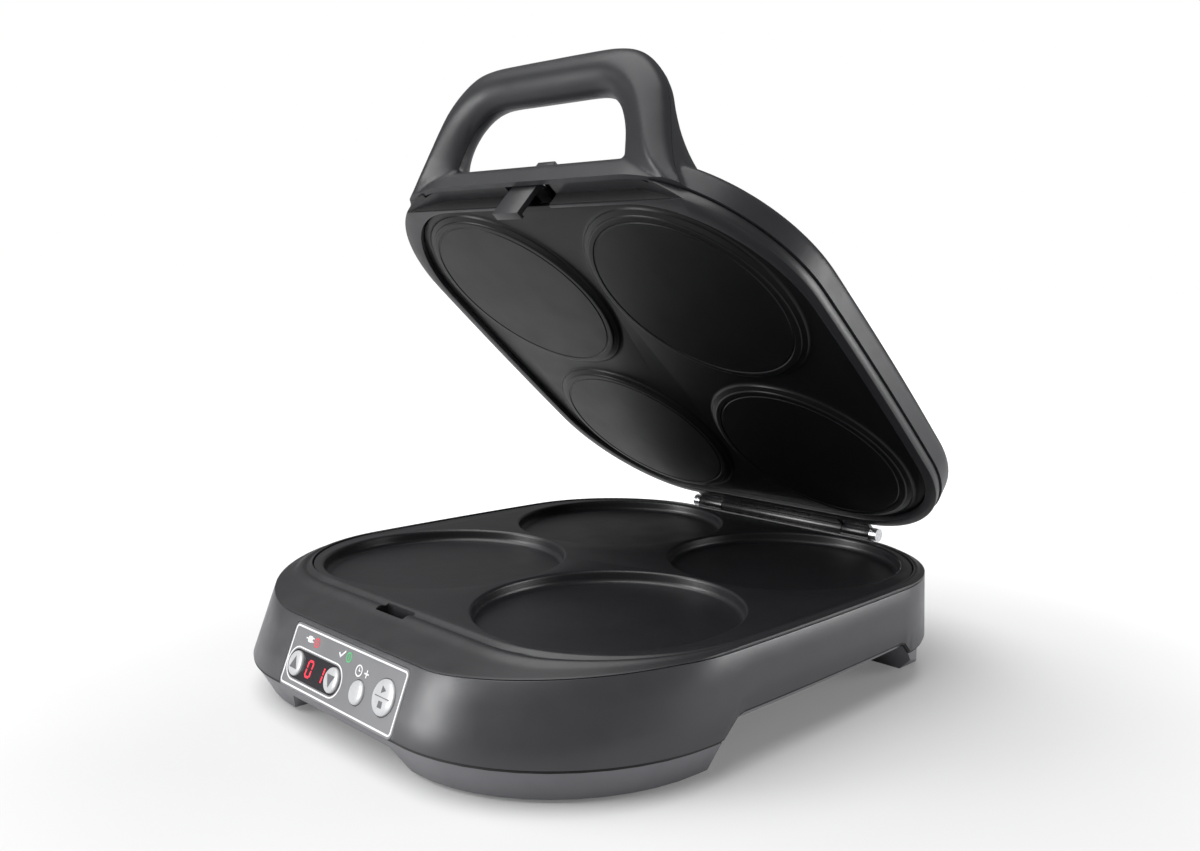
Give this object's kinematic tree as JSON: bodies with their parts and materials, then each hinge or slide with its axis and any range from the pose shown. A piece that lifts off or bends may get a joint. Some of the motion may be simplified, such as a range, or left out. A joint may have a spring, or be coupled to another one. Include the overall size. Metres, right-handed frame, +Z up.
{
  "type": "electric griddle",
  "caption": "Hinged electric griddle with round cooking wells, a lid that opens upward, a carrying handle with a latch and a sloping control panel.",
  "frame": {"origin": "centre of the footprint on the bench, on the underside of the rubber feet", "axes": "+Z up, +Y to the back where the hinge is, +X to the right seen from the control panel"},
  "size_m": [0.2574, 0.2859, 0.2789],
  "materials": {
    "housing": "satin charcoal",
    "deck": "satin dark charcoal",
    "cover": "satin grey",
    "rubber": "matt black",
    "nonstick": "black non-stick coating, semi-gloss",
    "shield_steel": "rolled sheet",
    "element_steel": "drawn",
    "zinc_steel": "zinc plated",
    "hinge_black": "blackened, semi-gloss",
    "ceramic": "glazed white",
    "black_plastic": "fine texture",
    "circuit_board": "green solder mask",
    "relay_blue": "moulded",
    "core_steel": "laminated, varnished",
    "wire_sleeve": "silicone sleeve",
    "digit_red": "lit red",
    "fascia": "satin printed film",
    "window": "dark tinted",
    "light_red": "translucent red",
    "light_green": "translucent green",
    "button_silver": "silver painted"
  },
  "bodies": {
    "base": {"base_housing": "housing", "top_bezel": "deck", "bottom_cover": "cover", "rubber_feet": "rubber", "bottom_screws": "zinc_steel", "lower_plate": "nonstick", "lower_plate_screws": "zinc_steel", "lower_element": "element_steel", "lower_element_clamps": "zinc_steel", "lower_heat_shield": "shield_steel", "lower_shield_screws": "zinc_steel", "lower_thermostat": "black_plastic", "thermal_fuse": "zinc_steel", "terminal_block": "ceramic", "cord_gland": "black_plastic", "power_board": "circuit_board", "power_board_screws": "zinc_steel", "power_relay": "relay_blue", "transformer": "core_steel", "base_wiring": "wire_sleeve", "control_board": "circuit_board", "board_screws": "zinc_steel", "button_switches": "black_plastic", "display_module": "black_plastic", "display_digits": "digit_red", "control_fascia": "fascia", "display_window": "window", "power_light": "light_red", "ready_light": "light_green", "latch_keeper": "zinc_steel", "hinge_base_leaf": "hinge_black", "hinge_base_screws": "zinc_steel"},
    "lid": {"hinge_pin": "element_steel", "hinge_end_caps": "zinc_steel", "hinge_lid_brackets": "hinge_black", "hinge_lid_screws": "zinc_steel", "lid_housing": "housing", "lid_bezel": "deck", "handle_front": "housing", "handle_screws": "zinc_steel", "lid_screws": "zinc_steel", "upper_plate": "nonstick", "upper_plate_screws": "zinc_steel", "upper_element": "element_steel", "upper_element_clamps": "zinc_steel", "upper_heat_shield": "shield_steel", "upper_thermostat": "black_plastic", "lid_wiring": "wire_sleeve", "latch_pin": "element_steel", "latch_spring": "element_steel"},
    "latch_hook": {"latch_hook": "cover"},
    "release_button": {"release_button": "housing"},
    "up_button": {"up_button": "button_silver"},
    "down_button": {"down_button": "button_silver"},
    "extra_time_button": {"extra_time_button": "button_silver"},
    "start_button": {"start_button": "button_silver"}
  },
  "joints": [
    {"name": "lid_hinge", "type": "hinge", "parent": "base", "child": "lid", "pos_m": [0, 0.138, 0.0503], "axis": [-1, 0, 0], "range_deg": [-41.5, 53]},
    {"name": "release_press", "type": "slide", "parent": "lid", "child": "release_button", "axis": [0, -0.6626, -0.749], "range_m": [0, 0.0012], "stiffness_N_per_m": 800, "springref_m": -0.001},
    {"name": "latch_pivot", "type": "hinge", "parent": "lid", "child": "latch_hook", "pos_m": [0, -0.04241, 0.22367], "axis": [-1, 0, 0], "range_deg": [0, 6.6]},
    {"name": "up_button_press", "type": "slide", "parent": "base", "child": "up_button", "axis": [0, 0.9336, -0.3584], "range_m": [0, 0.001], "stiffness_N_per_m": 600, "springref_m": -0.001},
    {"name": "down_button_press", "type": "slide", "parent": "base", "child": "down_button", "axis": [0, 0.9336, -0.3584], "range_m": [0, 0.001], "stiffness_N_per_m": 600, "springref_m": -0.001},
    {"name": "extra_time_button_press", "type": "slide", "parent": "base", "child": "extra_time_button", "axis": [0, 0.9336, -0.3584], "range_m": [0, 0.001], "stiffness_N_per_m": 600, "springref_m": -0.001},
    {"name": "start_button_press", "type": "slide", "parent": "base", "child": "start_button", "axis": [0, 0.9336, -0.3584], "range_m": [0, 0.001], "stiffness_N_per_m": 600, "springref_m": -0.001}
  ],
  "couplings": [
    {"joint": "latch_pivot", "follows": "release_press", "rad_per_m": 94.5}
  ]
}
